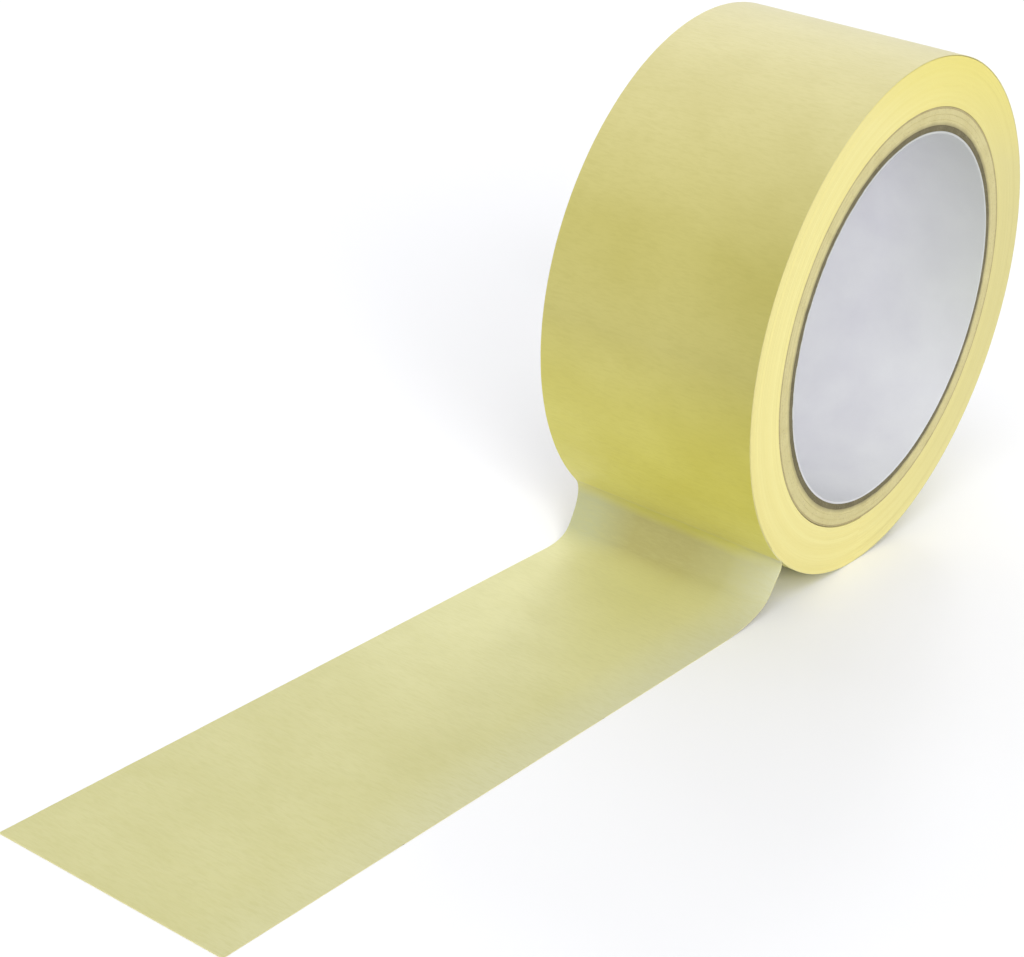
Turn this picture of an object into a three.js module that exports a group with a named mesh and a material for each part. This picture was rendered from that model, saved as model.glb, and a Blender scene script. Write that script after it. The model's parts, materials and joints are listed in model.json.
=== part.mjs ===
// A 48 mm masking tape roll on a 76 mm board core. The roll stands on its edge on a table, and a length
// of tape has been drawn off it, down one side of the roll and out flat across the table.
// Millimetres. +Z is up, the roll's axis runs along Y, and the drawn-off tape runs along -X. The origin
// is on the table, under the middle of the roll.
import * as THREE from "three";

// Driving dimensions
const TAPE_WIDTH = 48;
const TAPE_THICKNESS = 0.14;
const OUTER_RADIUS = 53.6;
const BORE_RADIUS = 38.1; // the standard 3 inch core
const TAIL_REACH = 192.5; // from under the roll's axis to the cut end of the tail
const TAIL_LENGTHS = 5; // the flat tail is this many lengths, hinged to each other
const PEEL_ANGLE = 40; // degrees from the bottom of the roll, where the tape leaves it
const BEND_POINT = new THREE.Vector2(-34.7, 5.2); // x and height where the falling tape bends outwards
const BEND_LEAN = THREE.MathUtils.degToRad(25); // how far past the straight fall it leans out there
const FOOT_REACH = 49; // from under the axis to where the tape lies flat
// How far the falling tape holds its direction: leaving the roll, into the bend, out of it, and landing
const HOLD_LEAVING = 1.5;
const HOLD_INTO_BEND = 3.1;
const HOLD_OUT_OF_BEND = 3.4;
const HOLD_LANDING = 8.5;
const FACETS = 72; // sides of every ring, with one side flat on the table
const WEB_STEPS = 8; // straight steps in each half of the falling tape's curve

// The core's plies, from the bore outwards
const LINER_THICKNESS = 0.4;
const DARK_PLY_THICKNESS = 1.15;
const BOARD_PLY_THICKNESS = 1.05;
const BOARD_PLIES = 3;
const WRAP_THICKNESS = 0.35;

// Clearances
const PLY_GAP = 0.05; // the glue line between two plies
const LAP_GAP = 0.1; // between the outer turn and the laps under it, which turn in it
const STRIP_GAP = 0.3; // between two lengths of the strip
const LAP_SLOT_ANGLE = 1.2; // degrees from the peel line down to the end of the lap under it
const PEEL_CLEARANCE_ANGLE = 0.1; // degrees between the outer turn and the tape that leaves it

const FACET_ANGLE = 360 / FACETS;
const AXIS_HEIGHT = OUTER_RADIUS * Math.cos(THREE.MathUtils.degToRad(FACET_ANGLE / 2));

const COLOURS = {
  tape: { color: 0xcdc583, roughness: 0.55 },
  windings: { color: 0xf0e49a, roughness: 0.7 },
  liner: { color: 0xd2d2d6, roughness: 0.75 },
  darkBoard: { color: 0x7d7258, roughness: 0.9 },
  board: { color: 0xe0d6ac, roughness: 0.85 },
  wrap: { color: 0xb9a87c, roughness: 0.85 },
};

const materials = {};
for (const [name, { color, roughness }] of Object.entries(COLOURS)) {
  materials[name] = new THREE.MeshStandardMaterial({ color, roughness, metalness: 0 });
}

// A ring round the roll's axis, as wide as the tape
function ring(name, innerRadius, outerRadius, material) {
  const half = TAPE_WIDTH / 2;
  const profile = [
    new THREE.Vector2(innerRadius, -half),
    new THREE.Vector2(outerRadius, -half),
    new THREE.Vector2(outerRadius, half),
    new THREE.Vector2(innerRadius, half),
    new THREE.Vector2(innerRadius, -half),
  ];
  const start = THREE.MathUtils.degToRad(FACET_ANGLE / 2);
  const mesh = new THREE.Mesh(new THREE.LatheGeometry(profile, FACETS, start), material);
  mesh.name = name;
  return mesh;
}

// A side view (x, height) carried across the width of the tape
function acrossTheWidth(name, outline, material) {
  const depth = TAPE_WIDTH;
  const geometry = new THREE.ExtrudeGeometry(new THREE.Shape(outline), { depth, bevelEnabled: false });
  const mesh = new THREE.Mesh(geometry, material);
  mesh.rotation.x = Math.PI / 2;
  mesh.position.y = TAPE_WIDTH / 2;
  mesh.name = name;
  return mesh;
}

// A point of the faceted circle of this corner radius, in side view. The angle is in degrees from the
// bottom of the roll, and grows towards the drawn-off tape.
function onTheRoll(cornerRadius, angle) {
  const fromFacetMiddle = angle - FACET_ANGLE * Math.round(angle / FACET_ANGLE);
  const flat = cornerRadius * Math.cos(THREE.MathUtils.degToRad(FACET_ANGLE / 2));
  const radius = flat / Math.cos(THREE.MathUtils.degToRad(fromFacetMiddle));
  const turned = THREE.MathUtils.degToRad(angle);
  return new THREE.Vector2(-radius * Math.sin(turned), AXIS_HEIGHT - radius * Math.cos(turned));
}

// The core: plies from the bore outwards. Returns the radius that the tape starts from.
function addCore(group) {
  let radius = BORE_RADIUS;
  const addPly = (name, thickness, material) => {
    group.add(ring(name, radius, radius + thickness, material));
    radius += thickness + PLY_GAP;
  };
  addPly("core_liner", LINER_THICKNESS, materials.liner);
  addPly("core_dark_ply", DARK_PLY_THICKNESS, materials.darkBoard);
  for (let i = 1; i <= BOARD_PLIES; i++) addPly(`core_board_ply_${i}`, BOARD_PLY_THICKNESS, materials.board);
  addPly("core_wrap", WRAP_THICKNESS, materials.wrap);
  return radius;
}

// The outermost lap: once round, from the peel line to just short of it
function outerTurn() {
  const innerRadius = OUTER_RADIUS - TAPE_THICKNESS;
  const from = PEEL_ANGLE + PEEL_CLEARANCE_ANGLE;
  const to = PEEL_ANGLE - LAP_SLOT_ANGLE + 360;
  const angles = [from];
  const firstCorner = (Math.floor(from / FACET_ANGLE - 0.5) + 1.5) * FACET_ANGLE;
  for (let angle = firstCorner; angle < to; angle += FACET_ANGLE) angles.push(angle);
  angles.push(to);
  const outside = angles.map((angle) => onTheRoll(OUTER_RADIUS, angle));
  const inside = angles.map((angle) => onTheRoll(innerRadius, angle)).reverse();
  return acrossTheWidth("outer_turn", [...outside, ...inside], materials.tape);
}

// The unstuck stretch: it leaves along the roll's tangent, drops, and bends out on to the table
function peelWeb() {
  const leave = onTheRoll(OUTER_RADIUS, PEEL_ANGLE);
  const foot = new THREE.Vector2(-FOOT_REACH, TAPE_THICKNESS);
  const peelAngle = THREE.MathUtils.degToRad(PEEL_ANGLE);
  const rollTangent = new THREE.Vector2(Math.cos(peelAngle), -Math.sin(peelAngle));
  const fall = BEND_POINT.clone().sub(leave).normalize();
  fall.rotateAround(new THREE.Vector2(), -BEND_LEAN);
  const level = new THREE.Vector2(-1, 0);
  const beyond = (point, direction, distance) => point.clone().addScaledVector(direction, distance);
  const backing = [
    new THREE.CubicBezierCurve(
      leave,
      beyond(leave, rollTangent, HOLD_LEAVING),
      beyond(BEND_POINT, fall, -HOLD_INTO_BEND),
      BEND_POINT,
    ),
    new THREE.CubicBezierCurve(
      BEND_POINT,
      beyond(BEND_POINT, fall, HOLD_OUT_OF_BEND),
      beyond(foot, level, -HOLD_LANDING),
      foot,
    ),
  ];

  // The backing side, and the adhesive side one thickness away from it
  const backingSide = [];
  const adhesiveSide = [];
  for (const [index, curve] of backing.entries()) {
    for (let step = index === 0 ? 0 : 1; step <= WEB_STEPS; step++) {
      const point = curve.getPoint(step / WEB_STEPS);
      const direction = curve.getTangent(step / WEB_STEPS);
      const toAdhesive = new THREE.Vector2(-direction.y, direction.x);
      backingSide.push(point);
      adhesiveSide.push(beyond(point, toAdhesive, TAPE_THICKNESS));
    }
  }
  return acrossTheWidth("peel_web", [...backingSide, ...adhesiveSide.reverse()], materials.tape);
}

// One length of the flat tail, counted from the roll
function tailLength(number) {
  const pitch = (TAIL_REACH - FOOT_REACH) / TAIL_LENGTHS;
  const length = pitch - STRIP_GAP;
  const mesh = new THREE.Mesh(
    new THREE.BoxGeometry(length, TAPE_WIDTH, TAPE_THICKNESS),
    materials.tape,
  );
  mesh.position.set(-FOOT_REACH - number * pitch + length / 2, 0, TAPE_THICKNESS / 2);
  mesh.name = `tail_${number}`;
  return mesh;
}

const roll = new THREE.Group();
roll.position.z = AXIS_HEIGHT;
const tapeStart = addCore(roll);
roll.add(ring("wound_tape", tapeStart, OUTER_RADIUS - TAPE_THICKNESS - LAP_GAP, materials.windings));

const strip = new THREE.Group();
strip.add(outerTurn(), peelWeb());
for (let number = 1; number <= TAIL_LENGTHS; number++) strip.add(tailLength(number));

const tapeRoll = new THREE.Group();
tapeRoll.add(roll, strip);

export default tapeRoll;
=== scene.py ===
# A roll of crepe masking tape on a board core, with a length of tape drawn off across the table.
# Metres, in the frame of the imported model: the roll's axis runs along Y, and the tail runs along -X.
import json
import math

import bmesh
import bpy
import numpy as np
from mathutils import Matrix, Vector


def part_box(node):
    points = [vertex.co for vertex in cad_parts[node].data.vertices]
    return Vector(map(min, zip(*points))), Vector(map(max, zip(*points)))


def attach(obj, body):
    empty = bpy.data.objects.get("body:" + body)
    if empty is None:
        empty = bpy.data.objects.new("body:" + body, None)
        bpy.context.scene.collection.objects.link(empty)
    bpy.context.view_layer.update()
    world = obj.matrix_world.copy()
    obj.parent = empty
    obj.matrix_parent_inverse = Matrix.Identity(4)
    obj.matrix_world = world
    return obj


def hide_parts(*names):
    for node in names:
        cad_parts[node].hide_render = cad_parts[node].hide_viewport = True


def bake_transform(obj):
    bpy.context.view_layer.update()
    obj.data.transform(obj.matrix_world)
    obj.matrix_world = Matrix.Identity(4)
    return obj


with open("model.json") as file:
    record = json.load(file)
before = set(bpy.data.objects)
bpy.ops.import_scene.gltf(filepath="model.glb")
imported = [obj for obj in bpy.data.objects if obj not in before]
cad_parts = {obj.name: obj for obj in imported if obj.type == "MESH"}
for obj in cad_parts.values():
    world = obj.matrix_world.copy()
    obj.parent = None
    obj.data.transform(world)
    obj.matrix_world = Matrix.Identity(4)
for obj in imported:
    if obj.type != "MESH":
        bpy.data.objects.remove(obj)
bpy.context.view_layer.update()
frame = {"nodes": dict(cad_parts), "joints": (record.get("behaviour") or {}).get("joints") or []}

MM = 0.001
TAU = 2 * math.pi


# ---- Sizes, from the frame ------------------------------------------------------------------------

turn_low, turn_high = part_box("outer_turn")
ROLL_RADIUS = (turn_high.x - turn_low.x) / 2
AXIS_HEIGHT = (turn_high.z + turn_low.z) / 2
HALF_WIDTH = (turn_high.y - turn_low.y) / 2
TAPE_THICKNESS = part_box("tail_1")[1].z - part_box("tail_1")[0].z
TAIL_LENGTHS = 5
TAIL_END_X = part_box(f"tail_{TAIL_LENGTHS}")[0].x

PEEL_NEAR = math.radians(38)  # round from the bottom of the roll, at the near edge of the tape
PEEL_FAR = math.radians(41)  # and at its far edge
LAID_X = -0.055  # the tape lies flat beyond here, right across its width


def corner_radii(node):
    """A ring's inner and outer radius, measured to the corners of its facets."""
    radii = [math.hypot(v.co.x, v.co.z - AXIS_HEIGHT) for v in frame["nodes"][node].data.vertices]
    return min(radii), max(radii)


FACET_SHARE = ROLL_RADIUS / corner_radii("outer_turn")[1]  # from a corner to the middle of a facet


def ring_radii(node):
    """A ring's inner and outer radius, measured to the middles of its facets."""
    return [radius * FACET_SHARE for radius in corner_radii(node)]


# ---- Repeatable noise for the meshes ---------------------------------------------------------------

# Large numbers that scatter the cells of a lattice
COLUMN_FACTOR, ROW_FACTOR, SEED_FACTOR, MIX_FACTOR = 374761393, 668265263, 974634777, 1274126177
LOW_BITS = 0xFFFFFF


def lattice_values(column, row, seed):
    """One value from 0 to 1 for each cell of a lattice, the same in every run."""
    column, row = column.astype(np.int64), row.astype(np.int64)
    mixed = column * COLUMN_FACTOR + row * ROW_FACTOR + seed * SEED_FACTOR
    mixed = (mixed ^ (mixed >> 13)) * MIX_FACTOR
    mixed = mixed ^ (mixed >> 16)
    return (mixed & LOW_BITS) / float(LOW_BITS)


def smooth_noise(u, v, seed):
    """Smooth noise from -1 to 1 over two coordinates, with one feature per unit."""
    u, v = np.broadcast_arrays(np.asarray(u, float), np.asarray(v, float))
    u0, v0 = np.floor(u), np.floor(v)
    fu, fv = u - u0, v - v0
    fu, fv = fu * fu * (3 - 2 * fu), fv * fv * (3 - 2 * fv)

    def corner(du, dv):
        return lattice_values(u0 + du, v0 + dv, seed)

    low = corner(0, 0) * (1 - fu) + corner(1, 0) * fu
    high = corner(0, 1) * (1 - fu) + corner(1, 1) * fu
    return 2 * (low * (1 - fv) + high * fv) - 1


def round_noise(angle, across, repeats, seed):
    """Smooth noise that closes on itself after a whole turn of the angle."""
    near = smooth_noise(angle / TAU * repeats, across, seed)
    far = smooth_noise((angle / TAU - 1) * repeats, across, seed)
    share = angle / TAU
    return near * (1 - share) + far * share


# ---- Mesh building ---------------------------------------------------------------------------------

def mesh_object(name, points, faces, materials, sharp_degrees):
    """A smooth-shaded mesh with its faces turned outwards. Its sharp edges are those over an angle."""
    mesh = bpy.data.meshes.new(name)
    mesh.from_pydata(points.tolist(), [], faces.tolist())
    turned = bmesh.new()
    turned.from_mesh(mesh)
    bmesh.ops.recalc_face_normals(turned, faces=turned.faces)
    turned.to_mesh(mesh)
    turned.free()
    mesh.shade_smooth()
    mesh.set_sharp_from_angle(angle=math.radians(sharp_degrees))
    for material in materials:
        mesh.materials.append(material)
    piece = bpy.data.objects.new(name, mesh)
    bpy.context.scene.collection.objects.link(piece)
    return piece


def grid_faces(rows, columns, close_rows=False, close_columns=False):
    """Quads over a grid of rows x columns points, numbered row by row."""
    row = np.arange(rows if close_rows else rows - 1)
    column = np.arange(columns if close_columns else columns - 1)
    r, c = np.meshgrid(row, column, indexing="ij")
    r1, c1 = (r + 1) % rows, (c + 1) % columns

    def at(i, j):
        return (i * columns + j).ravel()

    return np.stack([at(r, c), at(r, c1), at(r1, c1), at(r1, c)], axis=1)


def around_the_axis(radius, angle, y):
    """The angle is from the bottom of the roll, growing towards the tail."""
    return np.stack(
        [-radius * np.sin(angle), y + 0 * angle, AXIS_HEIGHT - radius * np.cos(angle)], axis=-1
    )


# ---- Materials -------------------------------------------------------------------------------------

NOISE_RANGE = (0.3, 0.7)  # nearly all the values of a noise lie between these


class Surface:
    """A Principled material with its node tree, and short ways to add procedural detail to it."""

    def __init__(self, name, roughness, specular=0.5):
        self.material = bpy.data.materials.new(name)
        self.material.use_nodes = True
        self.tree = self.material.node_tree
        self.shader = self.tree.nodes["Principled BSDF"]
        self.shader.inputs["Roughness"].default_value = roughness
        self.shader.inputs["Specular IOR Level"].default_value = specular
        self.place = self.node("ShaderNodeTexCoord").outputs["Object"]

    def node(self, kind, **settings):
        made = self.tree.nodes.new(kind)
        for name, value in settings.items():
            setattr(made, name, value)
        return made

    def link(self, source, target):
        self.tree.links.new(source, target)

    def math(self, operation, a, b=None):
        made = self.node("ShaderNodeMath", operation=operation)
        for socket, value in zip(made.inputs, (a, b)):
            if isinstance(value, (int, float)):
                socket.default_value = value
            elif value is not None:
                self.link(value, socket)
        return made.outputs[0]

    def noise(self, grain, detail=3.0, roughness=0.5, place=None):
        """Noise with features of the given size, in metres, along x, y and z."""
        mapping = self.node("ShaderNodeMapping")
        mapping.inputs["Scale"].default_value = [1 / size for size in grain]
        self.link(place or self.place, mapping.inputs["Vector"])
        noise = self.node("ShaderNodeTexNoise")
        noise.inputs["Scale"].default_value = 1.0
        noise.inputs["Detail"].default_value = detail
        noise.inputs["Roughness"].default_value = roughness
        self.link(mapping.outputs["Vector"], noise.inputs["Vector"])
        return noise.outputs["Fac"]

    def spread(self, value, low, high, to_low=0.0, to_high=1.0):
        """The value's stretch from low to high carried to another stretch, and cut off at its ends."""
        made = self.node("ShaderNodeMapRange")
        for name, number in zip(("From Min", "From Max", "To Min", "To Max"), (low, high, to_low, to_high)):
            made.inputs[name].default_value = number
        self.link(value, made.inputs["Value"])
        return made.outputs["Result"]

    def mix(self, share, a, b):
        """A colour between a and b, each a colour or a socket."""
        made = self.node("ShaderNodeMix", data_type="RGBA")
        self.link(share, made.inputs["Factor"])
        for socket, value in zip((made.inputs["A"], made.inputs["B"]), (a, b)):
            socket = next(s for s in made.inputs if s.name == socket.name and s.type == "RGBA")
            if isinstance(value, tuple):
                socket.default_value = (*value, 1.0)
            else:
                self.link(value, socket)
        return next(s for s in made.outputs if s.type == "RGBA")

    def colour(self, socket):
        self.link(socket, self.shader.inputs["Base Color"])

    def roughness(self, noise, at_low, at_high):
        """Roughness that varies with a noise, from its low values to its high ones."""
        self.link(self.spread(noise, *NOISE_RANGE, at_low, at_high), self.shader.inputs["Roughness"])

    def bump(self, *layers):
        """Each layer is (height socket, depth in metres)."""
        normal = None
        for height, depth in layers:
            bump = self.node("ShaderNodeBump")
            bump.inputs["Strength"].default_value = 1.0
            bump.inputs["Distance"].default_value = depth
            self.link(height, bump.inputs["Height"])
            if normal is not None:
                self.link(normal, bump.inputs["Normal"])
            normal = bump.outputs["Normal"]
        self.link(normal, self.shader.inputs["Normal"])

    def coordinates(self):
        """x, y and z as sockets."""
        parts = self.node("ShaderNodeSeparateXYZ")
        self.link(self.place, parts.inputs[0])
        return parts.outputs["X"], parts.outputs["Y"], parts.outputs["Z"]

    def spiral_place(self):
        """(radius from the roll's axis, turns round it) as sockets."""
        x, _, height = self.coordinates()
        z = self.math("SUBTRACT", height, AXIS_HEIGHT)
        square = self.math("ADD", self.math("MULTIPLY", x, x), self.math("MULTIPLY", z, z))
        radius = self.math("SQRT", square)
        turns = self.math("DIVIDE", self.math("ARCTAN2", x, z), TAU)
        return radius, turns


# Colours of the backing: its paler patches, its deeper patches, and the bottoms of its wrinkles, darkened as
# painted shade.
# Painted sheen: the backing is paler and whiter towards the top of the roll
TOP_OF_ROLL_PAINTED_SHEEN = [(0.64, 0.585, 0.275), (0.61, 0.555, 0.25), (0.51, 0.46, 0.18)]
MIDDLE_OF_ROLL = [(0.485, 0.44, 0.13), (0.46, 0.415, 0.11), (0.385, 0.345, 0.08)]
# Painted light: the lower part of the roll is lighter and a deeper yellow, in place of light bounced up from
# the tape
FOOT_OF_ROLL_PAINTED_LIGHT = [(0.70, 0.655, 0.085), (0.66, 0.61, 0.055), (0.56, 0.51, 0.04)]
# Painted shade: the roll is darker towards the near edge of the tape
NEAR_EDGE_OF_ROLL_PAINTED_SHADE = [(0.43, 0.39, 0.10), (0.405, 0.365, 0.085), (0.345, 0.31, 0.065)]
# Painted light: the tail is lighter beside the roll, lifting the shade that the roll casts there
LAID_BY_ROLL_PAINTED_LIGHT = [(0.635, 0.615, 0.305), (0.605, 0.585, 0.275), (0.52, 0.50, 0.21)]
# The tail's own colour, one layer on the table
LAID = [(0.55, 0.525, 0.22), (0.525, 0.50, 0.195), (0.45, 0.425, 0.15)]
# One layer off the roll, at its far edge, in its middle and at its near edge: painted light where it leaves
# the roll, painted shade where it hangs below the roll, deepest in its middle, with painted light coming
# through at its far edge, and painted light where it lands
LEAVING_PAINTED_LIGHT = [(0.61, 0.56, 0.125), (0.645, 0.61, 0.09), (0.70, 0.66, 0.12)]
HANGING_PAINTED_SHADE_AND_LIGHT = [(0.445, 0.455, 0.255), (0.395, 0.36, 0.13), (0.465, 0.45, 0.205)]
LANDED_PAINTED_LIGHT = [(0.55, 0.525, 0.215), (0.61, 0.59, 0.24), (0.64, 0.62, 0.30)]
SEEN_THROUGH = (0.60, 0.60, 0.41)  # along the near edge, where the light comes through the paper

# Where those colours take over from each other: each starts at its first value, and is full at its second.
CLEAR_OF_ROLL_X = (-31.5 * MM, -32.5 * MM)  # only the falling tape and the tail lie beyond here
BELOW_PEEL = (0.1 * MM, -0.4 * MM)  # measured up from the peel line, as is the next
# From the painted shade where the tape hangs to the painted light where it leaves the roll
HANGING_SHADE_TO_LEAVING_LIGHT = (-3.4 * MM, -0.2 * MM)
TAIL_X = (LAID_X + 0.5 * MM, LAID_X)
# The painted sheen, rising towards the roll's top
PAINTED_SHEEN_Z = (74.0 * MM, 107.0 * MM)
# The painted light on the roll's lower part, growing down the roll and towards the tail's side
PAINTED_LIGHT_FOOT_Z = (55.0 * MM, 14.0 * MM)
PAINTED_LIGHT_FOOT_X = (20.0 * MM, -15.0 * MM)
PAINTED_LIGHT_AWAY_FROM_TAIL = 0.35  # the share of the painted light on the side away from the tail
# The painted shade, from the middle of the roll to its near edge
PAINTED_SHADE_NEAR_EDGE_Y = (0.0, -HALF_WIDTH)
FAR_Y = (9.0 * MM, 19.0 * MM)
NEAR_Y = (-4.0 * MM, -15.0 * MM)
# The painted light on the tail, growing towards the roll
PAINTED_LIGHT_BY_ROLL_X = (-125.0 * MM, -75.0 * MM)
# The painted light where the tape lands: where it takes over, how it slants, and how strong it is
PAINTED_LIGHT_LANDED_X = (-75.0 * MM, -46.0 * MM)  # at the middle of the strip
PAINTED_LIGHT_LANDED_SLANT = 1.5  # how far that moves along x for each step across
PAINTED_LIGHT_LANDED_SHARE = 0.8
# Up from the table, where the painted light and shade of the falling tape take over
OFF_TABLE_Z = (0.2 * MM, 2.8 * MM)
OFF_TABLE_SHARE = 0.95
SEEN_THROUGH_Y = (-13.0 * MM, -HALF_WIDTH)
SEEN_THROUGH_SHARE = 0.9
SEEN_THROUGH_X = (-170.0 * MM, -55.0 * MM)
SEEN_THROUGH_AT_CUT_END = 0.2

# The crepe's features: how large they are along the strip, and across it.
WRINKLE = (0.42 * MM, 2.1 * MM)
FOLD = (1.2 * MM, 5.5 * MM)
FIBRE = (0.2 * MM, 0.2 * MM)
PATCH = (11 * MM, 14 * MM)
PATCH_CONTRAST = (0.34, 0.66)  # from the noise where a patch is pale to where it is deep
FOLD_SHARE = 0.4  # how high the folds are beside the wrinkles
GROOVE_HEIGHT = (0.78, 0.48)  # from the top of the wrinkles to their bottoms
# How far the painted shade darkens the bottoms of the wrinkles
GROOVE_SHADE_SHARE = 0.3
CREPE_DEPTH = 0.03 * MM
FIBRE_DEPTH = 0.005 * MM


def strip_grain(along, across):
    """A feature's size along x, y and z. The strip's length runs along x, and on the roll along z too."""
    return (along, across, along)


def free_of_the_laps(s):
    """Masks of the strip beyond the peel line and of the tail alone, and the height above the peel line."""
    x, y, z = s.coordinates()
    near_z, far_z = (AXIS_HEIGHT - ROLL_RADIUS * math.cos(angle) for angle in (PEEL_NEAR, PEEL_FAR))
    slope = (far_z - near_z) / (2 * HALF_WIDTH)
    level = s.math("SUBTRACT", z, s.math("MULTIPLY", y, slope))
    above_peel = s.math("SUBTRACT", level, (near_z + far_z) / 2)
    under_peel = s.math("MULTIPLY", s.spread(above_peel, *BELOW_PEEL), s.spread(x, *CLEAR_OF_ROLL_X))
    tail = s.spread(x, *TAIL_X)
    return s.math("MAXIMUM", under_peel, tail), tail, above_peel


def crepe_surface():
    """The backing: crepe paper, with wrinkles across the strip's width, under a satin release coat.
    Over the laps it is a deeper yellow than where one layer hangs free or lies on the table. Its colour also
    holds
    painted light and shade: a painted sheen on the roll's top, painted light on its lower part and on the
    tail beside it, painted shade towards its near edge and in the bottoms of the wrinkles, and painted light
    and shade on the tape that leaves the roll, hangs and lands."""
    s = Surface("crepe_backing", 0.5, specular=0.6)
    s.shader.inputs["Sheen Weight"].default_value = 0.2
    wrinkles = s.noise(strip_grain(*WRINKLE), detail=3.0, roughness=0.6)
    folds = s.noise(strip_grain(*FOLD), detail=2.0)
    fibre = s.noise(strip_grain(*FIBRE), detail=2.0)
    patches = s.noise(strip_grain(*PATCH), detail=3.0)
    height = s.math("ADD", wrinkles, s.math("MULTIPLY", folds, FOLD_SHARE))

    # On the roll, and flat on the table, with a painted sheen on the roll's top, painted light on its lower
    # part and on the tail beside it, and painted shade towards its near edge
    x, y, z = s.coordinates()
    free, tail, above_peel = free_of_the_laps(s)
    # Painted sheen towards the top of the roll
    high = s.spread(z, *PAINTED_SHEEN_Z)
    # Painted light on the lower part of the roll, strongest on the tail's side
    low = s.math("MULTIPLY", s.spread(z, *PAINTED_LIGHT_FOOT_Z), s.spread(x, *PAINTED_LIGHT_FOOT_X, to_low=PAINTED_LIGHT_AWAY_FROM_TAIL))
    # Painted light on the tail beside the roll
    lit_by_roll = s.spread(x, *PAINTED_LIGHT_BY_ROLL_X)
    # Painted shade towards the roll's near edge
    roll_near_shade = s.spread(y, *PAINTED_SHADE_NEAR_EDGE_Y)
    thin, thick, groove = (
        s.mix(
            free,
            s.mix(low, s.mix(high, s.mix(roll_near_shade, middle, edge), top), foot),
            s.mix(lit_by_roll, laid, by),
        )
        for top, middle, edge, foot, by, laid in zip(
            TOP_OF_ROLL_PAINTED_SHEEN, MIDDLE_OF_ROLL, NEAR_EDGE_OF_ROLL_PAINTED_SHADE, FOOT_OF_ROLL_PAINTED_LIGHT, LAID_BY_ROLL_PAINTED_LIGHT, LAID
        )
    )
    body = s.mix(s.spread(patches, *PATCH_CONTRAST), thin, thick)

    # Falling off the roll, and landing: painted light where it leaves the roll and where it lands, and
    # painted shade where it hangs below the roll, with painted light coming through at its far edge
    far, near = s.spread(y, *FAR_Y), s.spread(y, *NEAR_Y)
    leaving, hanging_shade, landed_light = (
        s.mix(near, s.mix(far, at_middle, at_far), at_near)
        for at_far, at_middle, at_near in (LEAVING_PAINTED_LIGHT, HANGING_PAINTED_SHADE_AND_LIGHT, LANDED_PAINTED_LIGHT)
    )
    aslant = s.math("SUBTRACT", x, s.math("MULTIPLY", y, PAINTED_LIGHT_LANDED_SLANT))
    landing = s.math("MULTIPLY", free, s.spread(aslant, *PAINTED_LIGHT_LANDED_X, to_high=PAINTED_LIGHT_LANDED_SHARE))
    body = s.mix(landing, body, landed_light)
    fallen_light_and_shade = s.mix(s.spread(above_peel, *HANGING_SHADE_TO_LEAVING_LIGHT), hanging_shade, leaving)
    falling = s.math("SUBTRACT", free, tail)
    off_table = s.math("MULTIPLY", falling, s.spread(z, *OFF_TABLE_Z, to_high=OFF_TABLE_SHARE))
    body = s.mix(off_table, body, fallen_light_and_shade)

    # The near edge, with the light behind it
    lit_edge = s.math("MULTIPLY", free, s.spread(y, *SEEN_THROUGH_Y, to_high=SEEN_THROUGH_SHARE))
    lit_stretch = s.spread(x, *SEEN_THROUGH_X, to_low=SEEN_THROUGH_AT_CUT_END)
    body = s.mix(s.math("MULTIPLY", lit_edge, lit_stretch), body, SEEN_THROUGH)

    # Painted shade in the bottoms of the wrinkles
    s.colour(s.mix(s.spread(height, *GROOVE_HEIGHT, to_high=GROOVE_SHADE_SHARE), body, groove))
    s.roughness(wrinkles, 0.54, 0.46)
    s.bump((height, CREPE_DEPTH), (fibre, FIBRE_DEPTH))
    return s.material


ADHESIVE_WRINKLE = (0.7 * MM, 5 * MM)  # how large along the strip, and across it, as is the next
ADHESIVE_PATCH = (6 * MM, 8 * MM)
ADHESIVE_COLOURS = [(0.72, 0.68, 0.42), (0.66, 0.61, 0.34)]  # where it is thin, and where it is thick


def adhesive_surface():
    """The sticky side: a smooth, slightly wet-looking rubber film over the crepe."""
    s = Surface("adhesive_side", 0.32, specular=0.5)
    wrinkles = s.noise(strip_grain(*ADHESIVE_WRINKLE), detail=2.0)
    patches = s.noise(strip_grain(*ADHESIVE_PATCH), detail=3.0)
    s.colour(s.mix(s.spread(patches, 0.35, 0.65), *ADHESIVE_COLOURS))
    s.roughness(patches, 0.26, 0.4)
    s.bump((wrinkles, CREPE_DEPTH))
    return s.material


CHANGES_IN_A_TURN = 5.0  # of one lap's shade
# The size of a feature in laps from the bore out, and in changes round the roll. The third isn't used.
SINGLE_LAP = (1.0, 1.0, 1.0)
BAND_OF_LAPS = (9.0, 3.0, 1.0)
BAND_CONTRAST = (0.32, 0.68)  # from the noise where a band is pale to where it is deep
LINE_NOISE = (0.58, 0.78)  # from the noise where a lap starts to darken to where it is darkest
LINE_SHARE = 0.45
DUST = 0.4 * MM
LAP_DEPTH, DUST_DEPTH = 0.02 * MM, 0.012 * MM
# Painted shade on the roll's side, deeper towards its top: where it starts and where it is full
PAINTED_SHADE_TOP = (0.7 * ROLL_RADIUS, 1.1 * ROLL_RADIUS)  # above the roll's axis
PAINTED_SHADE_TOP_LEAN = 0.3  # how far that lies lower for each step away from the tail


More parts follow.
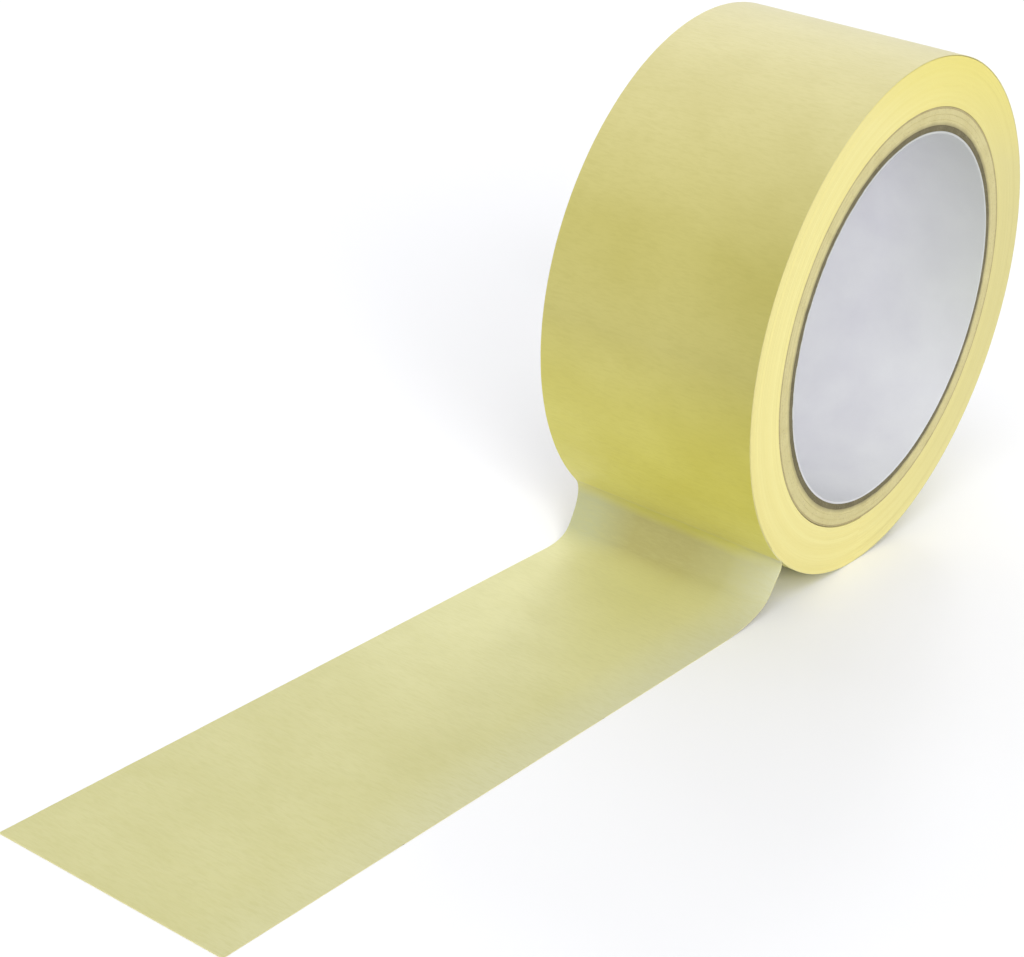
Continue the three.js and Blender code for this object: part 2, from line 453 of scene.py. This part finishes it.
def slit_edge_surface(name, pale, deep, line, lap, painted_shade=None):
    """The side of the roll: the slit edges of the laps, each a little lighter or darker than the next.
    Line is the colour of the darkest laps, and lap is how thick one is. The last argument gives the colours
    of painted shade that it darkens to away from the tail, and towards the top."""
    s = Surface(name, 0.72, specular=0.3)
    radius, turns = s.spiral_place()
    position = s.math("ADD", s.math("DIVIDE", radius, lap), turns)
    place = s.node("ShaderNodeCombineXYZ")
    s.link(position, place.inputs["X"])
    s.link(s.math("MULTIPLY", turns, CHANGES_IN_A_TURN), place.inputs["Y"])
    along = place.outputs["Vector"]
    single = s.noise(SINGLE_LAP, detail=1.0, place=along)
    bands = s.noise(BAND_OF_LAPS, detail=2.0, place=along)
    dust = s.noise([DUST] * 3, detail=3.0)
    body = s.mix(s.spread(bands, *BAND_CONTRAST), pale, deep)
    # Painted shade: darker away from the tail, and deeper towards the top
    if painted_shade:
        shaded_away_from_tail, shaded_towards_top = painted_shade
        x, _, height = s.coordinates()
        z = s.math("SUBTRACT", height, AXIS_HEIGHT)
        body = s.mix(s.spread(x, 0.0, ROLL_RADIUS), body, shaded_away_from_tail)
        up = s.math("ADD", z, s.math("MULTIPLY", x, PAINTED_SHADE_TOP_LEAN))
        body = s.mix(s.spread(up, *PAINTED_SHADE_TOP), body, shaded_towards_top)
    s.colour(s.mix(s.spread(single, *LINE_NOISE, to_high=LINE_SHARE), body, line))
    s.roughness(dust, 0.66, 0.8)
    s.bump((single, LAP_DEPTH), (dust, DUST_DEPTH))
    return s.material


BOARD_FIBRE = (0.5 * MM, 0.6 * MM, 0.5 * MM)
BOARD_FIBRE_DEPTH = 0.12 * MM
BOARD_CLOUD = 4 * MM
BOARD_CONTRAST = (0.7, 1.3)  # from the sum of two noises where the board is deep to where it is pale
SPECK = 0.35 * MM
SPECK_NOISE = (0.66, 0.74)  # from the noise where a speck starts to where it is full
SPECK_SHARE = 0.7
SOAK_UNEVEN, SOAK_FADE = 0.6 * MM, 0.8 * MM
SOAK_SHARE = 0.8


def board_surface(name, pale, deep, fleck, soak=None):
    """Core board: short fibres, specks and the torn look of its cut edge.
    Soak is (radius, colour): the board nearer the axis than this has soaked up dark glue."""
    s = Surface(name, 0.88, specular=0.2)
    fibres = s.noise(BOARD_FIBRE, detail=5.0, roughness=0.65)
    cloud = s.noise([BOARD_CLOUD] * 3, detail=2.0)
    specks = s.noise([SPECK] * 3, detail=1.0)
    body = s.mix(s.spread(s.math("ADD", fibres, cloud), *BOARD_CONTRAST), deep, pale)
    if soak:
        soaked_to, glue = soak
        radius, _ = s.spiral_place()
        place = s.math("ADD", radius, s.math("MULTIPLY", cloud, SOAK_UNEVEN))
        body = s.mix(s.spread(place, soaked_to + SOAK_FADE, soaked_to, to_high=SOAK_SHARE), body, glue)
    s.colour(s.mix(s.spread(specks, *SPECK_NOISE, to_high=SPECK_SHARE), body, fleck))
    s.roughness(fibres, 0.95, 0.82)
    s.bump((fibres, BOARD_FIBRE_DEPTH))
    return s.material


SEAM_PITCH = 190 * MM  # how far along the axis the liner's seam runs in one turn
SEAM_START = 10.5  # turns, which places the seam round the bore
SEAM_HALF_WIDTH = 0.0035  # in turns
SEAM_DEPTH = 0.06 * MM
SEAM_SHARE = 0.35
LINER_CLOUD = 9 * MM
LINER_FIBRE = (1.1 * MM, 0.4 * MM)  # how large round the bore, and along it
LINER_FIBRE_DEPTH = 0.02 * MM
LINER_FLECK_NOISE = (0.62, 0.8)  # from the noise where a fleck starts to where it is full
LINER_FLECK_SHARE = 0.3
# Painted shade in the bore: darker towards its near edge and its upper part
PAINTED_SHADE_SHARE = 0.6  # at the near edge of the bore, from none at its middle
PAINTED_SHADE_Z = (0.55 * AXIS_HEIGHT, 0.95 * AXIS_HEIGHT)
PAINTED_SHADE_LOW_DOWN = 0.3  # the share of the painted shade below its band of heights
LINER_CLOUDS = [(0.64, 0.64, 0.68), (0.69, 0.695, 0.72)]
LINER_FLECK = (0.62, 0.61, 0.62)
# The colour of the painted shade on the liner
LINER_PAINTED_SHADE = (0.45, 0.47, 0.42)
LINER_SEAM = (0.5, 0.48, 0.44)


def liner_surface():
    """The bore's paper liner: calendered white-grey paper with a butt seam that runs round as a helix, and
    painted shade towards the bore's near edge and its upper part.
    """
    s = Surface("liner_paper", 0.62, specular=0.35)
    _, turns = s.spiral_place()
    _, y, z = s.coordinates()
    along = s.math("ADD", s.math("DIVIDE", y, -SEAM_PITCH), s.math("ADD", turns, SEAM_START))
    from_seam = s.math("ABSOLUTE", s.math("SUBTRACT", s.math("FRACT", along), 0.5))
    seam = s.spread(from_seam, 0.0, SEAM_HALF_WIDTH, 1.0, 0.0)
    cloud = s.noise([LINER_CLOUD] * 3, detail=4.0)
    fibres = s.noise(strip_grain(*LINER_FIBRE), detail=4.0, roughness=0.6)
    body = s.mix(s.spread(cloud, *NOISE_RANGE), *LINER_CLOUDS)
    flecked = s.mix(s.spread(fibres, *LINER_FLECK_NOISE, to_high=LINER_FLECK_SHARE), body, LINER_FLECK)
    # Painted shade on the bore's wall, towards its near edge and its upper part
    past_middle = s.spread(y, 0.0, -HALF_WIDTH, to_high=PAINTED_SHADE_SHARE)
    upper = s.spread(z, *PAINTED_SHADE_Z, to_low=PAINTED_SHADE_LOW_DOWN)
    shaded = s.mix(s.math("MULTIPLY", past_middle, upper), flecked, LINER_PAINTED_SHADE)
    s.colour(s.mix(s.math("MULTIPLY", seam, SEAM_SHARE), shaded, LINER_SEAM))
    s.roughness(fibres, 0.58, 0.7)
    s.bump((fibres, LINER_FIBRE_DEPTH), (s.math("SUBTRACT", 1.0, seam), SEAM_DEPTH))
    return s.material


# ---- The core --------------------------------------------------------------------------------------

RING_COLUMNS = 360
WALL_ROWS, EDGE_ROWS = 9, 5  # of points, along a ply's wall and across its cut edge
ROUNDING = 0.06 * MM  # of the corners where a ply's wall meets its cut edge
# The noise of a cut edge. Each count is of features in a turn, and each step their size from the bore out.
TORN_LAYERS = [(0.6, 150), (0.4, 420)]  # (share, count)
TORN_STEP = 0.5 * MM
WARP_DEPTH, WARP_STEP, WARP_COUNT = 0.04 * MM, 4 * MM, 7
NICK_COUNT = 90
NICK_START = 0.5  # the noise above this is a nick
NICK_DEPTH = 3  # beside the depth of the tear
SIDE_OFFSET = {"torn": 40, "warp": 9, "nick": 3}  # keeps the noise of the two cut edges apart


def ply(name, node, outer, material, seed, tear):
    """A ply of the core: a tube whose cut edges are slightly uneven. Tear is how uneven."""
    inner, half = ring_radii(node)[0], HALF_WIDTH
    profile = [(inner, y, 0) for y in np.linspace(-half + ROUNDING, half - ROUNDING, WALL_ROWS)]
    edge_radii = np.linspace(inner + ROUNDING, outer - ROUNDING, EDGE_ROWS)
    profile += [(radius, half, 1) for radius in edge_radii]
    profile += [(outer, y, 0) for y in (half - ROUNDING, -half + ROUNDING)]
    profile += [(radius, -half, -1) for radius in edge_radii[::-1]]
    radius, y, side = np.array(profile).T[:, :, None]
    angle = np.linspace(0, TAU, RING_COLUMNS, endpoint=False)[None, :]
    across = radius / TORN_STEP + SIDE_OFFSET["torn"] * side
    torn = sum(
        share * round_noise(angle, across, count, seed + layer)
        for layer, (share, count) in enumerate(TORN_LAYERS)
    )
    warp = round_noise(angle, radius / WARP_STEP + SIDE_OFFSET["warp"] * side, WARP_COUNT, seed + 2)
    y = y + side * (tear * torn + WARP_DEPTH * warp)
    nicks = round_noise(angle, SIDE_OFFSET["nick"] * side, NICK_COUNT, seed + 3) - NICK_START
    nicks = np.clip(nicks, 0, 1) * np.abs(side)
    radius = radius + nicks * tear * NICK_DEPTH * np.sign(radius - (inner + outer) / 2)
    points = around_the_axis(radius, angle, y).reshape(-1, 3)
    faces = grid_faces(len(profile), RING_COLUMNS, close_rows=True, close_columns=True)
    piece = mesh_object(name, points, faces, [material], sharp_degrees=25)
    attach(piece, "roll")
    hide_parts(node)
    return piece


# Colours of the core's boards: their paler and their deeper parts, and their flecks.
DARK_BOARD = [(0.20, 0.175, 0.10), (0.125, 0.11, 0.06), (0.33, 0.28, 0.18)]
PALE_BOARD = [(0.64, 0.58, 0.30), (0.57, 0.505, 0.245), (0.42, 0.35, 0.22)]
KRAFT_WRAP = [(0.49, 0.42, 0.22), (0.39, 0.33, 0.165), (0.28, 0.23, 0.12)]
GLUE = (0.30, 0.26, 0.14)
GLUE_SOAK = 0.35 * MM  # how far it has soaked into the innermost pale ply


def build_core():
    """The six plies, from the bore outwards, each as thick as the room to the next."""
    first_seed, seeds_for_each = 11, 7
    liner = liner_surface()
    dark = board_surface("dark_board", *DARK_BOARD)
    soak = (ring_radii("core_board_ply_1")[0] + GLUE_SOAK, GLUE)
    pale = board_surface("pale_board", *PALE_BOARD, soak=soak)
    kraft = board_surface("kraft_wrap", *KRAFT_WRAP)
    plies = [  # (node, material, slot, the depth of the tear in its edges in mm)
        ("core_liner", liner, "liner_paper", 0.02),
        ("core_dark_ply", dark, "dark_board", 0.09),
        ("core_board_ply_1", pale, "pale_board", 0.06),
        ("core_board_ply_2", pale, "pale_board", 0.05),
        ("core_board_ply_3", pale, "pale_board", 0.05),
        ("core_wrap", kraft, "kraft_wrap", 0.04),
    ]
    nodes = [row[0] for row in plies] + ["wound_tape"]
    for number, (node, material, slot, tear) in enumerate(plies):
        outer = ring_radii(nodes[number + 1])[0]
        seed = first_seed + seeds_for_each * number
        piece = ply(node.replace("core_", "core_made_"), node, outer, material, seed, tear * MM)


# ---- The wound tape --------------------------------------------------------------------------------

LAP = 0.14 * MM
LAP_COLUMNS = 240
LAST_LAP_DEPTH = 0.1 * MM  # under the roll's surface, inside the thickness of the outer lap
GROOVE_DEPTH = 0.02 * MM  # between two laps
# How uneven the slit edges are: (depth, changes in a turn, where the noise is read, its seed)
SLIT_NOISE = [(0.018 * MM, 1, 5, 31), (0.010 * MM, 6, 9, 32), (0.05 * MM, 1 / 7, 3, 33)]
# Colours of the slit edges: their paler and their deeper bands, and the darkest laps
WINDINGS = [(0.82, 0.745, 0.315), (0.785, 0.70, 0.275), (0.72, 0.63, 0.22)]
# Painted shade on the roll's side: darker away from the tail, and deeper towards the top
WINDINGS_PAINTED_SHADE = [(0.64, 0.58, 0.26), (0.77, 0.68, 0.18)]  # away from the tail, and towards the top
STRIP_EDGE = [(0.72, 0.67, 0.36), (0.68, 0.63, 0.32), (0.60, 0.54, 0.26)]


def wound_tape():
    """The buried laps as the one spiral that they are, each lap's slit edge a little in or out."""
    inner, outer = ring_radii("wound_tape")[0], ROLL_RADIUS - LAST_LAP_DEPTH
    laps = int((outer - inner) / LAP)
    pitch = (outer - inner) / (laps + 0.5)
    count = laps * LAP_COLUMNS + 1
    turns = np.arange(count) / LAP_COLUMNS
    angle = -turns * TAU
    points = []
    for side in (1, -1):
        uneven = sum(
            depth * smooth_noise(turns * changes, row * side, seed)
            for depth, changes, row, seed in SLIT_NOISE
        )
        edge = side * (HALF_WIDTH + uneven)
        groove = around_the_axis(inner + pitch * turns, angle, edge - side * GROOVE_DEPTH)
        crown = around_the_axis(inner + pitch * (turns + 0.5), angle, edge)
        points += [groove, crown]
    points = np.concatenate(points)

    # Each lap rises from its groove to its crown, and falls to the groove that is one turn further out
    faces = []
    step = LAP_COLUMNS
    v, w = np.arange(count - 1), np.arange(count - 1 - step)
    for groove, crown in ((0, count), (2 * count, 3 * count)):
        rise = np.stack([groove + v, groove + v + 1, crown + v + 1, crown + v], axis=1)
        fall = np.stack([crown + w, crown + w + 1, groove + w + step + 1, groove + w + step], axis=1)
        faces += [rise, fall]

    # The bore side and the outside, from one slit edge to the other
    start = [*range(step + 1), count]
    last = count - 1
    end = [*range(count + last - step, count + last + 1), last]
    for loop in (start, end):
        here = np.array(loop)
        after = np.roll(here, -1)
        faces.append(np.stack([here, after, after + 2 * count, here + 2 * count], axis=1))
    surface = slit_edge_surface("tape_windings", *WINDINGS, lap=pitch, painted_shade=WINDINGS_PAINTED_SHADE)
    piece = mesh_object("wound_laps", points, np.concatenate(faces), [surface], sharp_degrees=60)
    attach(piece, "roll")
    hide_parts("wound_tape")


# ---- The strip: its outer lap, the stretch that falls to the table, and the flat tail ---------------

ROWS_ACROSS = 25
ROWS_TO_EDGE = 0.92  # the nearer to 1, the closer together the rows lie at the strip's edges
STEP_ALONG = 0.45 * MM
FALL_STEPS, LAND_STEPS, FLAT_STATIONS = 26, 30, 16
OUTER_TURNS = 366 / 360  # of the outer lap, which starts a little under the peel line
CONTACT_TURN = 320 / 360  # of a turn back from the peel line, where the lap touches the table
TONGUE_LENGTH, TONGUE_DEPTH = 0.3 * MM, 0.012 * MM

BEND_POINT = np.array([-34.9, 5.0]) * MM  # x and height where the falling tape bends outwards
# The rest of its curve. Each pair is at the strip's far edge and at its near edge.
BEND_LEAN = (math.radians(24), math.radians(28))  # how far from upright it is there
FOOT_X_OF_EDGES = (-44 * MM, -53 * MM)  # where it lies flat
# How far it holds its direction: leaving the roll, into the bend, out of it, and landing
HOLD_LEAVING = (2.4 * MM, 2.6 * MM)
HOLD_INTO_BEND = (3.4 * MM, 3.0 * MM)
HOLD_OUT_OF_BEND = (3.2 * MM, 3.8 * MM)
HOLD_LANDING = (7.0 * MM, 9.5 * MM)

# The crepe in the mesh: (height, a feature's length along the strip, its length across, a seed)
CREPE_LAYERS = [
    (0.014 * MM, 1.1 * MM, 7 * MM, 51),
    (0.008 * MM, 0.7 * MM, 4 * MM, 52),
    (0.012 * MM, 4 * MM, 16 * MM, 53),
]
CREPE_THROUGH = 0.6  # the share of the crepe that shows on the adhesive side


def bezier(a, b, c, d, steps):
    """Points along a cubic curve from a to d, without a itself."""
    share = np.linspace(0, 1, steps + 1)[1:, None]
    rest = 1 - share
    return rest**3 * a + 3 * rest**2 * share * b + 3 * rest * share**2 * c + share**3 * d


def between(pair, near):
    """A value between the far edge's and the near edge's. Near is 0 at the one and 1 at the other."""
    at_far, at_near = pair
    return at_far + (at_near - at_far) * near


def strip_side_view(near):
    """The backing side of the strip in side view (x, height), from under the peel line once round the
    roll, off it, and down to the table. Near is 1 at the strip's near edge and 0 at its far edge."""
    peel = between((PEEL_FAR, PEEL_NEAR), near)
    back = np.linspace(OUTER_TURNS, 0, int(TAU * ROLL_RADIUS / STEP_ALONG))
    radius = ROLL_RADIUS + TAPE_THICKNESS * (CONTACT_TURN - back)
    angle = peel + back * TAU
    round_roll = np.stack([-radius * np.sin(angle), AXIS_HEIGHT - radius * np.cos(angle)], axis=1)
    leave = round_roll[-1]
    tangent = np.array([math.cos(peel), -math.sin(peel)])
    lean = between(BEND_LEAN, near)
    fall = np.array([-math.sin(lean), -math.cos(lean)])
    foot = np.array([between(FOOT_X_OF_EDGES, near), TAPE_THICKNESS])
    before_foot = foot + np.array([between(HOLD_LANDING, near), 0])
    after_leave = leave + tangent * between(HOLD_LEAVING, near)
    before_bend = BEND_POINT - fall * between(HOLD_INTO_BEND, near)
    after_bend = BEND_POINT + fall * between(HOLD_OUT_OF_BEND, near)
    fall_curve = bezier(leave, after_leave, before_bend, BEND_POINT, FALL_STEPS)
    land_curve = bezier(BEND_POINT, after_bend, before_foot, foot, LAND_STEPS)
    flat_x = np.linspace(foot[0], LAID_X, FLAT_STATIONS)[1:]
    flat = np.stack([flat_x, np.full_like(flat_x, foot[1])], axis=1)
    return np.concatenate([round_roll, fall_curve, land_curve, flat])


def crepe_relief(along, across):
    """How far the crepe stands out of the backing, for places in metres along and across the strip."""
    return sum(
        height * smooth_noise(along / length, across / width, seed)
        for height, length, width, seed in CREPE_LAYERS
    )


def band_mesh(name, backing, normals, along, across, cap_start=False, cap_end=False):
    """A stretch of tape: its backing side, its two slit edges and its adhesive side.
    backing and normals are (stations, rows, 3); along and across place the crepe."""
    stations, rows = backing.shape[:2]
    crepe = crepe_relief(along, across)[..., None]
    outer = backing + normals * crepe
    inner = backing - normals * (TAPE_THICKNESS - CREPE_THROUGH * crepe)
    points = np.concatenate([outer, inner[:, ::-1]], axis=1)
    faces = grid_faces(stations, 2 * rows, close_columns=True)
    materials = [CREPE, ADHESIVE, SLIT_EDGE]
    backing_side, adhesive_side, edge_side = range(len(materials))
    column = np.arange(2 * rows)
    sides = np.where(column < rows, backing_side, adhesive_side)
    sides[(column == rows - 1) | (column == 2 * rows - 1)] = edge_side
    surface = np.tile(sides, stations - 1)
    caps = [station for station, wanted in ((0, cap_start), (stations - 1, cap_end)) if wanted]
    for station in caps:
        row = np.arange(rows - 1)
        first = station * 2 * rows
        cap = np.stack(
            [first + row, first + row + 1, first + 2 * rows - 2 - row, first + 2 * rows - 1 - row], axis=1
        )
        faces = np.concatenate([faces, cap])
        surface = np.concatenate([surface, np.full(rows - 1, edge_side)])
    piece = mesh_object(name, points.reshape(-1, 3), faces, materials, sharp_degrees=50)
    piece.data.polygons.foreach_set("material_index", surface.astype(np.int32))
    return piece


def rows_across():
    """The strip's rows, closer together next to its two edges, as y and as a share towards the near edge."""
    share = np.linspace(-1, 1, ROWS_ACROSS)
    quarter = math.pi / 2 * ROWS_TO_EDGE
    y = HALF_WIDTH * np.sin(share * quarter) / math.sin(quarter)
    return y, (HALF_WIDTH - y) / (2 * HALF_WIDTH)


def tape_on_roll():
    """The outer lap, the stretch that falls off it and the first of the flat: one piece of tape."""
    y, near = rows_across()
    lines = np.stack([strip_side_view(share) for share in near], axis=1)
    stations = len(lines)
    backing = np.stack([lines[..., 0], np.tile(y, (stations, 1)), lines[..., 1]], axis=-1)
    ahead = np.gradient(lines, axis=0)
    ahead /= np.linalg.norm(ahead, axis=-1, keepdims=True)
    normals = np.stack([ahead[..., 1], np.zeros_like(ahead[..., 0]), -ahead[..., 0]], axis=-1)
    steps = np.linalg.norm(np.diff(lines, axis=0), axis=-1)
    along = np.concatenate([np.zeros((1, len(y))), np.cumsum(steps, axis=0)])
    along -= along[-1:] + LAID_X  # the same count as along the flat tail
    piece = band_mesh("tape_on_roll", backing, normals, along, np.tile(y, (stations, 1)), cap_start=True)
    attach(piece, "strip")
    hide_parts("outer_turn", "peel_web")


def flat_tape(name, from_x, to_x, node, cap_end=False, tongue=False):
    """A stretch of the flat tail, with the crepe carried on from its neighbour. A tongue carries it on
    inside the next stretch."""
    y, _ = rows_across()
    x = np.linspace(from_x, to_x, round((from_x - to_x) / STEP_ALONG) + 1)
    if tongue:
        x = np.append(x, to_x - TONGUE_LENGTH)
    along, across = np.meshgrid(-x, y, indexing="ij")
    backing = np.stack([-along, across, np.full_like(along, TAPE_THICKNESS)], axis=-1)
    normals = np.zeros_like(backing)
    normals[..., 2] = 1
    if tongue:
        backing[-1, :, 2] -= TONGUE_DEPTH
        normals[-1, :, 2] -= 2 * TONGUE_DEPTH / TAPE_THICKNESS
    piece = band_mesh(name, backing, normals, along, across, cap_end=cap_end or tongue)
    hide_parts(node)
    return piece


def build_strip():
    """The tape on the roll, the stretch that pays out, and a stretch over each hinge of the tail."""
    tape_on_roll()
    hinges = {joint["child"]: joint for joint in frame["joints"] if joint["name"].startswith("tail_lift")}
    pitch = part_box("tail_1")[0].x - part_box("tail_2")[0].x
    first_hinge = hinges["tail_length_2"]["pos_m"][0]
    feed = flat_tape("tape_feed", LAID_X, first_hinge, "tail_1")
    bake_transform(feed)
    start = first_hinge
    for number in range(2, TAIL_LENGTHS + 1):
        parent, child = f"tail_length_{number - 1}", f"tail_length_{number}"
        hinge_x = hinges[child]["pos_m"][0]
        last = number == TAIL_LENGTHS
        end = TAIL_END_X if last else hinge_x - pitch / 2
        piece = flat_tape(
            f"tape_length_{number}", start, end, f"tail_{number}", cap_end=last, tongue=not last
        )
        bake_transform(piece)
        start = end


# ---- The table, the light and the camera ------------------------------------------------------------

CAMERA_AZIMUTH = math.radians(-55.82)
CAMERA_ELEVATION = math.radians(24.22)
CAMERA_ROLL = math.radians(5.78)
CAMERA_BACK, CAMERA_LEFT, CAMERA_DOWN = 9.2216, 1.0634, 0.7271  # from the roll's centre, in roll radii
CAMERA_LENS = 84.91

TABLE_RADIUS = 6
TABLE_CLOUD = 400 * MM
TABLE_COLOURS = [(0.90, 0.903, 0.93), (0.92, 0.923, 0.945)]
TABLE_DROP = 0.03 * MM  # keeps the table's face from lying in the tape's own
WORLD_STRENGTH = 0.45
SOFT_LIGHTS = [  # (name, where it comes from, its spread in degrees, how strong it is on white)
    ("left", (-0.56, -0.22, 0.80), 35, 0.30),
    ("front", (-0.60, -0.70, 0.42), 30, 0.50),
    ("back", (0.25, 0.55, 0.80), 55, 0.15),
    ("low_back", (0.70, 0.50, 0.45), 45, 0.16),
    ("window", (1.35, 0.60, 1.0), 9, 0.09),
]
NOT_REFLECTED = ["window"]


def add_table():
    bpy.ops.mesh.primitive_circle_add(
        vertices=96, radius=TABLE_RADIUS, fill_type="NGON", location=(0, 0, -TABLE_DROP)
    )
    table = bpy.context.object
    table.name = "table"
    s = Surface("table_top", 0.7, specular=0.2)
    cloud = s.noise([TABLE_CLOUD] * 3, detail=2.0)
    s.colour(s.mix(cloud, *TABLE_COLOURS))
    table.data.materials.append(s.material)


def add_soft_light(name, towards, spread_degrees, white):
    """Light from a soft panel a long way off. White is what it adds to a white surface that faces it."""
    data = bpy.data.lights.new(name, "SUN")
    data.energy, data.angle = white * math.pi, math.radians(spread_degrees)
    lamp = bpy.data.objects.new(name, data)
    bpy.context.scene.collection.objects.link(lamp)
    lamp.rotation_mode = "QUATERNION"
    lamp.rotation_quaternion = Vector(towards).to_track_quat("Z", "Y")
    lamp.visible_glossy = name not in NOT_REFLECTED


def add_light():
    world = bpy.data.worlds.new("studio")
    world.use_nodes = True
    background = world.node_tree.nodes["Background"]
    background.inputs["Color"].default_value = (1, 1, 1, 1)
    background.inputs["Strength"].default_value = WORLD_STRENGTH
    bpy.context.scene.world = world
    for row in SOFT_LIGHTS:
        add_soft_light(*row)
    bpy.context.scene.view_settings.view_transform = "Standard"


def add_camera():
    """A camera that looks along the direction of the two angles, and is rolled about it."""
    azimuth, elevation = CAMERA_AZIMUTH, CAMERA_ELEVATION
    back = Vector((
        math.sin(azimuth) * math.cos(elevation),
        -math.cos(azimuth) * math.cos(elevation),
        math.sin(elevation),
    ))
    level_right = Vector((math.cos(azimuth), math.sin(azimuth), 0))
    level_up = back.cross(level_right)
    right = math.cos(CAMERA_ROLL) * level_right + math.sin(CAMERA_ROLL) * level_up
    up = back.cross(right)
    place = Vector((0, 0, AXIS_HEIGHT))
    place += ROLL_RADIUS * (CAMERA_BACK * back - CAMERA_LEFT * right - CAMERA_DOWN * up)
    data = bpy.data.cameras.new("camera")
    data.lens = CAMERA_LENS
    camera = bpy.data.objects.new("camera", data)
    bpy.context.scene.collection.objects.link(camera)
    camera.matrix_world = Matrix.Translation(place) @ Matrix((right, up, back)).transposed().to_4x4()
    bpy.context.scene.camera = camera


add_camera()
add_table()
add_light()

CREPE = crepe_surface()
ADHESIVE = adhesive_surface()
SLIT_EDGE = slit_edge_surface("slit_edge", *STRIP_EDGE, lap=LAP)

build_core()
wound_tape()
build_strip()
